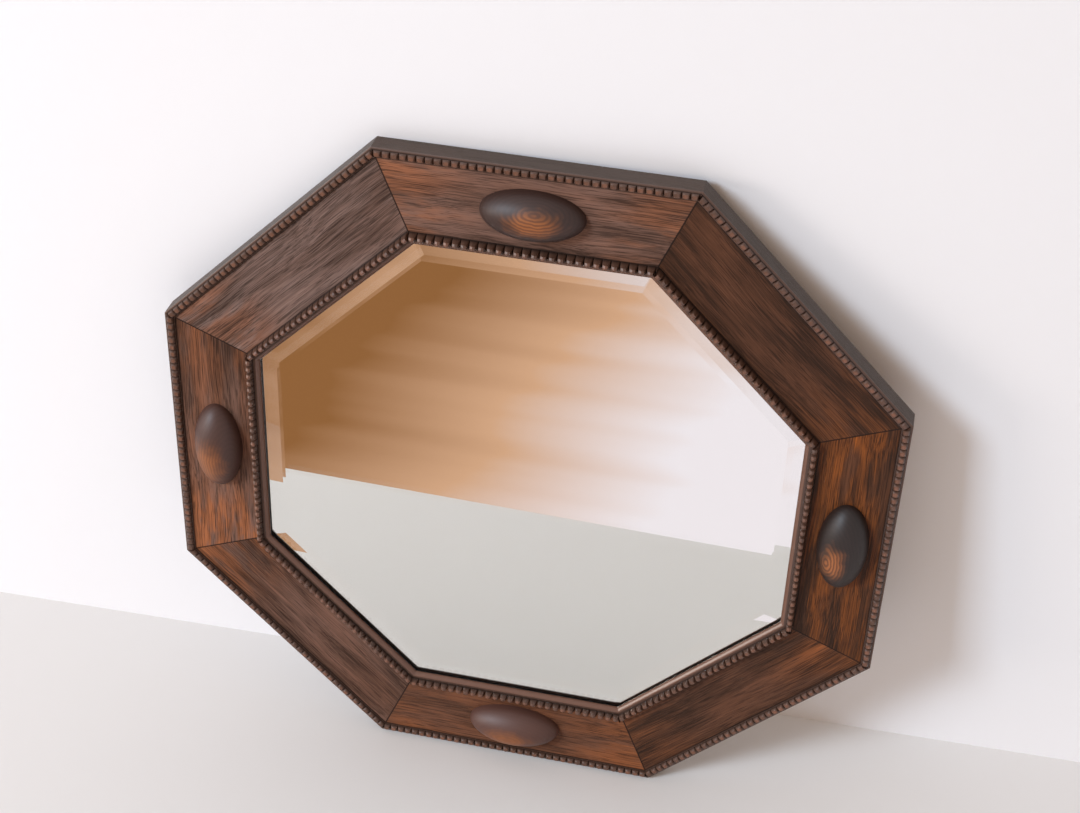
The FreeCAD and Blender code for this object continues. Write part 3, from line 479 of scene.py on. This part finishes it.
def boss_oak(side):
    """Turned oak: layers of growth cut by the dome into ovals, which show where the stain is worn off."""
    (ring_along, ring_across), patch_middle, patch_size, clearness, light_and_sheen = BOSS_FINISH[side]
    turn = SIDES.index(side)
    material, tree = new_material(f"turned_oak_{side}")
    place = add(tree, "ShaderNodeTexCoord").outputs["Object"]
    bench = add(tree, "ShaderNodeMapping", {"Vector": place, "Rotation": (0, -turn * SIDE_TURN, 0),
                                            "Location": (0, FLAT * MM, -BOSS_LINE * MM)})
    wobble = add(tree, "ShaderNodeTexNoise", {"Vector": bench, "Scale": 110.0, "Detail": 2.0})
    # Layers curve, so that the dome cuts them into ovals round the rings' middle
    half_length, half_width = BOSS_LENGTH / 2, BOSS_WIDTH / 2
    rise = half_width * math.sqrt(1 - (ring_along / half_length) ** 2 - (ring_across / half_width) ** 2)
    facing = Vector((ring_along / half_length ** 2, -rise / half_width ** 2, ring_across / half_width ** 2))
    facing.normalize()
    crown = facing.dot(Vector((ring_along, -rise, ring_across))) * MM
    depth = add(tree, "ShaderNodeVectorMath", {0: bench, 1: tuple(facing)}, operation="DOT_PRODUCT")
    depth = add(tree, "ShaderNodeMath", {0: crown, 1: depth.outputs["Value"]}, operation="SUBTRACT",
                use_clamp=True)
    reach = add(tree, "ShaderNodeMath", {0: depth, 1: BOSS_WIDTH * MM}, operation="MULTIPLY")
    reach = add(tree, "ShaderNodeMath", {0: reach}, operation="SQRT")
    reach = add(tree, "ShaderNodeMath", {0: wobble, 1: RING_WANDER, 2: reach}, operation="MULTIPLY_ADD")
    rings = add(tree, "ShaderNodeMath", {0: reach, 1: 2 * math.pi / RING_SPACING}, operation="MULTIPLY")
    rings = add(tree, "ShaderNodeMath", {0: rings}, operation="SINE")
    rings = add(tree, "ShaderNodeMapRange", {"Value": rings, "From Min": -0.8, "From Max": 0.6,
                                             "To Min": 0.5 - clearness / 2, "To Max": 0.5 + clearness / 2})
    # Worn patch: fades out towards its half sizes, with a ragged edge
    patch = add(tree, "ShaderNodeVectorMath", {0: bench, 1: (patch_middle[0] * MM, 0, patch_middle[1] * MM)},
                operation="SUBTRACT")
    patch = add(tree, "ShaderNodeVectorMath", {0: patch, 1: (1000 / patch_size[0], 0, 1000 / patch_size[1])},
                operation="MULTIPLY")
    patch = add(tree, "ShaderNodeVectorMath", {0: patch}, operation="LENGTH").outputs["Value"]
    patch = add(tree, "ShaderNodeMath", {0: wobble, 1: 0.7, 2: patch}, operation="MULTIPLY_ADD")
    patch = add(tree, "ShaderNodeMapRange", {"Value": patch, "From Min": 0.5, "From Max": 1.35,
                                             "To Min": 1.0, "To Max": 0.0}, interpolation_type="SMOOTHSTEP")
    bare = add(tree, "ShaderNodeMix", {"Factor": rings, "A": linear(BOSS_EARLY_WOOD),
                                       "B": linear(BOSS_LATE_WOOD)}, data_type="RGBA")
    # Stain of the unworn dome: lighter on some bosses, partly a painted sheen
    dark = add(tree, "ShaderNodeMix", {"Factor": light_and_sheen, "A": linear(BOSS_DEEP), "B": linear(BOSS_LIGHT)},
               data_type="RGBA")
    layer = add(tree, "ShaderNodeMapRange", {"Value": rings, "To Min": 0.88, "To Max": 1.12})
    dark = add(tree, "ShaderNodeVectorMath", {0: dark, "Scale": layer}, operation="SCALE")
    colour = add(tree, "ShaderNodeMix", {"Factor": patch, "A": dark, "B": bare}, data_type="RGBA")
    bump = add(tree, "ShaderNodeBump", {"Height": rings, "Strength": 0.05, "Distance": 0.0003})
    surface = add(tree, "ShaderNodeBsdfPrincipled", {"Base Color": colour, "Roughness": 0.52, "Normal": bump,
                                                     "Specular IOR Level": 0.5})
    add(tree, "ShaderNodeOutputMaterial", {"Surface": surface})
    return material


def plate_glass():
    """Polished plate glass: clear, with the faint green of iron in thick glass."""
    material, tree = new_material("polished_plate_glass")
    surface = add(tree, "ShaderNodeBsdfPrincipled", {"Base Color": linear("#f7faf7"), "Roughness": 0.0,
                                                     "IOR": 1.52, "Transmission Weight": 1.0})
    add(tree, "ShaderNodeOutputMaterial", {"Surface": surface})
    return material


def silver_film():
    """Chemically laid silver on the back of the plate: a nearly colourless mirror, a little aged."""
    material, tree = new_material("laid_silver")
    surface = add(tree, "ShaderNodeBsdfPrincipled", {"Base Color": linear("#f1f0ef"), "Metallic": 1.0,
                                                     "Roughness": 0.0})
    add(tree, "ShaderNodeOutputMaterial", {"Surface": surface})
    return material


def board_wood(name, dark, light_and_sheen, width):
    """Raw sawn board: straight grain along X, dull, with streaks of a given width in millimetres."""
    material, tree = new_material(name)
    place = add(tree, "ShaderNodeTexCoord").outputs["Object"]
    across = 1 / (width * MM)
    grain = add(tree, "ShaderNodeMapping", {"Vector": place, "Scale": (across / 25, across, across)})
    grain = add(tree, "ShaderNodeTexNoise", {"Vector": grain, "Scale": 1.0, "Detail": 5.0, "Roughness": 0.6})
    grain = add(tree, "ShaderNodeMapRange", {"Value": grain, "From Min": 0.3, "From Max": 0.7})
    colour = add(tree, "ShaderNodeMix", {"Factor": grain, "A": linear(dark), "B": linear(light_and_sheen)},
                 data_type="RGBA")
    surface = add(tree, "ShaderNodeBsdfPrincipled", {"Base Color": colour, "Roughness": 0.75})
    add(tree, "ShaderNodeOutputMaterial", {"Surface": surface})
    return material


def old_metal(name, bright, dull, roughness):
    """Drawn, turned or stamped metal, dulled in patches 3 mm across."""
    material, tree = new_material(name)
    place = add(tree, "ShaderNodeTexCoord").outputs["Object"]
    patch = add(tree, "ShaderNodeTexNoise", {"Vector": place, "Scale": 300.0, "Detail": 3.0})
    patch = add(tree, "ShaderNodeMapRange", {"Value": patch, "From Min": 0.4, "From Max": 0.65})
    colour = add(tree, "ShaderNodeMix", {"Factor": patch, "A": linear(bright), "B": linear(dull)},
                 data_type="RGBA")
    surface = add(tree, "ShaderNodeBsdfPrincipled", {"Base Color": colour, "Metallic": 1.0,
                                                     "Roughness": roughness})
    add(tree, "ShaderNodeOutputMaterial", {"Surface": surface})
    return material


def dress(obj, material):
    """Gives a piece its material."""
    obj.data.materials.clear()
    obj.data.materials.append(material)


beads = bead_oak()
for name in SIDES:
    dress(nodes[f"rail_{name}"], rail_oak(name))
    dress(outer_beads(name), beads)
    dress(inner_beads(name), beads)
for name in SIDES[::2]:
    dress(boss(name), boss_oak(name))
dress(mirror_plate(), plate_glass())
dress(silvering(), silver_film())
dress(nodes["backboard"], board_wood("old_pine_board", "#7a5a3c", "#a9845a", 3.0))
dress(nodes["glazing_blocks"], board_wood("pine_offcuts", "#a07c50", "#c39f6c", 2.0))
dress(nodes["mitre_splines"], board_wood("beech_tongues", "#9a7350", "#b78d64", 1.5))
dress(nodes["backboard_brads"], old_metal("cut_steel", "#6d6a66", "#3f3b38", 0.5))
turned_steel = old_metal("turned_steel", "#7d7a75", "#4b4743", 0.4)
for name, below in SCREW_BELOW.items():
    dress(screw(f"slotted_screw_{name}", below), turned_steel)
dress(nodes["hanger_strap"], old_metal("stamped_brass", "#a88848", "#6b5430", 0.42))
dress(ring(), old_metal("brass_wire", "#b08f4c", "#735a33", 0.35))

# The mirror leans back against a wall, its lowest edge on a table, and stands a little askew to both
LEAN, ASKEW = math.radians(7.0), math.radians(1.47)
UP = np.array([0, -math.sin(LEAN), math.cos(LEAN)])
SQUARE_ON = np.array([0, math.cos(LEAN), math.sin(LEAN)])
ALONG_WALL = np.array([1, 0, 0]) * math.cos(ASKEW) + SQUARE_ON * math.sin(ASKEW)
TO_WALL = SQUARE_ON * math.cos(ASKEW) - np.array([1, 0, 0]) * math.sin(ASKEW)
LOW_EDGE = np.array([0, 0, -OUTER]) * MM
TOP_CORNER = np.array([-OUTER * MITRE, 0, OUTER]) * MM
FOOT = UP * (UP @ LOW_EDGE) + TO_WALL * (TO_WALL @ TOP_CORNER)
TABLE_REACH, WALL_REACH, STAGE_WIDTH, TABLE_EDGE = 4.0, 4.0, 5.0, 0.4368
WALL_WHITE, TABLE_PALE = "#f0f0f3", "#e1dedc"

# Floor past the table, seen by reflections alone: its colours by how far it has faded, its brightness, and
# the fade's growth per metre along the wall and away from it
FLOOR_COLOURS = {0.05: "#99683f", 0.5: "#deae8c", 0.95: "#fcf3fa"}
FLOOR_GLOW, FADE_ALONG, FADE_AWAY = 1.07, 2.29, -0.36

# How much of the wall that bounced light and reflections see is evenly pale, and how pale
WALL_EVEN_DIFFUSE, WALL_EVEN_GLOSSY, WALL_GLOW = 0.25, 0.6, 1.2


def stage_plane(name, reach):
    """Flat sheet from the foot of the wall, given by the way it reaches."""
    half = ALONG_WALL * STAGE_WIDTH
    points = np.stack([FOOT - half, FOOT + half, FOOT + half + reach, FOOT - half + reach])
    mesh = bpy.data.meshes.new(name)
    mesh.from_pydata(points.tolist(), [], [(0, 1, 2, 3)])
    sheet = bpy.data.objects.new(name, mesh)
    bpy.context.scene.collection.objects.link(sheet)
    return sheet


def one_sided(tree, front):
    """Output that shows a surface from its front and lets everything through from behind."""
    behind = add(tree, "ShaderNodeNewGeometry").outputs["Backfacing"]
    clear = add(tree, "ShaderNodeBsdfTransparent")
    shown = add(tree, "ShaderNodeMixShader", {0: behind, 1: front, 2: clear})
    add(tree, "ShaderNodeOutputMaterial", {"Surface": shown})


def wall_paint():
    """Matt white wall."""
    material, tree = new_material("matt_wall_paint")
    surface = add(tree, "ShaderNodeBsdfPrincipled", {"Base Color": linear(WALL_WHITE), "Roughness": 0.9,
                                                     "Specular IOR Level": 0.1})
    # Seen by bounced light, the wall is partly even, so that what stands against it is lit from behind too
    path = add(tree, "ShaderNodeLightPath")
    glow = add(tree, "ShaderNodeEmission", {"Color": linear(WALL_WHITE), "Strength": WALL_GLOW})
    even = add(tree, "ShaderNodeMath", {0: path.outputs["Is Diffuse Ray"], 1: WALL_EVEN_DIFFUSE},
               operation="MULTIPLY")
    even = add(tree, "ShaderNodeMath", {0: path.outputs["Is Glossy Ray"], 1: WALL_EVEN_GLOSSY, 2: even},
               operation="MULTIPLY_ADD")
    front = add(tree, "ShaderNodeMixShader", {0: even, 1: surface, 2: glow})
    material.cycles.emission_sampling = "NONE"
    one_sided(tree, front)
    return material


def table_paint():
    """Matt pale table. Past its edge, reflections see a warm floor that fades to white on the right."""
    material, tree = new_material("matt_table_paint")
    surface = add(tree, "ShaderNodeBsdfPrincipled", {"Base Color": linear(TABLE_PALE), "Roughness": 0.8,
                                                     "Specular IOR Level": 0.15})
    place = add(tree, "ShaderNodeTexCoord").outputs["Object"]
    from_wall = add(tree, "ShaderNodeVectorMath", {0: place, 1: tuple(-TO_WALL)}, operation="DOT_PRODUCT")
    from_wall = add(tree, "ShaderNodeMath", {0: from_wall.outputs["Value"], 1: float(FOOT @ TO_WALL)},
                    operation="ADD")
    is_floor = add(tree, "ShaderNodeMath", {0: from_wall, 1: TABLE_EDGE}, operation="GREATER_THAN")
    along = add(tree, "ShaderNodeVectorMath", {0: place, 1: tuple(ALONG_WALL)}, operation="DOT_PRODUCT")
    # Boards of the floor, out of focus: soft bands 110 mm wide
    bands = add(tree, "ShaderNodeMapping", {"Vector": place, "Scale": (0.8, 9, 1)})
    bands = add(tree, "ShaderNodeTexNoise", {"Vector": bands, "Scale": 1.0, "Detail": 2.0})
    bands = add(tree, "ShaderNodeMapRange", {"Value": bands, "From Min": 0.35, "From Max": 0.65,
                                             "To Min": 0.94, "To Max": 1.1})
    fade = add(tree, "ShaderNodeMath", {0: along.outputs["Value"], 1: FADE_ALONG, 2: bands},
               operation="MULTIPLY_ADD")
    fade = add(tree, "ShaderNodeMath", {0: from_wall, 1: FADE_AWAY, 2: fade}, operation="MULTIPLY_ADD",
               use_clamp=True)
    floor = add(tree, "ShaderNodeValToRGB", {"Fac": fade})
    floor.color_ramp.elements.new(0.5)
    for stop, (position, colour) in zip(floor.color_ramp.elements, FLOOR_COLOURS.items()):
        stop.position, stop.color = position, linear(colour)
    glow = add(tree, "ShaderNodeEmission", {"Color": floor, "Strength": FLOOR_GLOW})
    path = add(tree, "ShaderNodeLightPath")
    seen = add(tree, "ShaderNodeMath", {0: path.outputs["Is Glossy Ray"],
                                        1: path.outputs["Is Transmission Ray"]}, operation="MAXIMUM")
    share = add(tree, "ShaderNodeMath", {0: seen, 1: is_floor}, operation="MULTIPLY")
    front = add(tree, "ShaderNodeMixShader", {0: share, 1: surface, 2: glow})
    one_sided(tree, front)
    return material


table = stage_plane("table", -TO_WALL * TABLE_REACH)
table.data.flip_normals()
table.data.materials.append(table_paint())
wall = stage_plane("wall", UP * WALL_REACH)
wall.data.materials.append(wall_paint())

# Warm fill from the room, which shows as a pale backdrop where it is seen or mirrored
scene = bpy.context.scene
scene.view_settings.view_transform = "Standard"
scene.world = bpy.data.worlds.new("pale_room")
scene.world.use_nodes = True
room = scene.world.node_tree
room.nodes.clear()
fill = add(room, "ShaderNodeBackground", {"Color": linear("#ffdfc4"), "Strength": 0.5})
backdrop = add(room, "ShaderNodeBackground", {"Color": linear("#f2f1f3"), "Strength": 0.9})
rays = add(room, "ShaderNodeLightPath")
seen = add(room, "ShaderNodeMath", {0: rays.outputs["Is Glossy Ray"],
                                    1: rays.outputs["Is Transmission Ray"]}, operation="MAXIMUM")
seen = add(room, "ShaderNodeMath", {0: seen, 1: rays.outputs["Is Camera Ray"]}, operation="MAXIMUM")
shown = add(room, "ShaderNodeMixShader", {0: seen, 1: fill, 2: backdrop})
add(room, "ShaderNodeOutputWorld", {"Surface": shown})


def lamp(name, place, width, height, power, colour):
    """Window as a rectangular lamp that faces the mirror's middle."""
    window = bpy.data.objects.new(name, bpy.data.lights.new(name, "AREA"))
    window.data.shape = "RECTANGLE"
    window.data.size, window.data.size_y = width, height
    window.data.energy = power
    window.data.color = linear(colour)[:3]
    window.location = place
    window.rotation_euler = (-window.location).to_track_quat("-Z", "Y").to_euler()
    scene.collection.objects.link(window)


# Soft daylight from a window at the upper left, and a small low one at the left that lights the right slopes
lamp("window", place=(-5.5, -5.8, 4.2), width=2.1, height=2.5, power=610.0, colour="#ddefff")
lamp("side_window", place=(-3.05, -1.8, 0.3), width=1.0, height=0.9, power=34.0, colour="#fff0e4")

# Camera: place, and its own right and upward directions, fitted to the octagon's corners
CAMERA_PLACE = Vector((0.22187, -1.09122, 0.86079))
CAMERA_RIGHT = Vector((0.97573, 0.21642, 0.03337))
CAMERA_UP = Vector((-0.15231, 0.56125, 0.81351))
camera = bpy.data.objects.new("camera", bpy.data.cameras.new("camera"))
camera.data.sensor_width = 36.0
camera.data.lens = 64.23
turned = Matrix((CAMERA_RIGHT, CAMERA_UP, CAMERA_RIGHT.cross(CAMERA_UP))).transposed()
camera.matrix_world = Matrix.Translation(CAMERA_PLACE) @ turned.to_4x4()
scene.collection.objects.link(camera)
scene.camera = camera
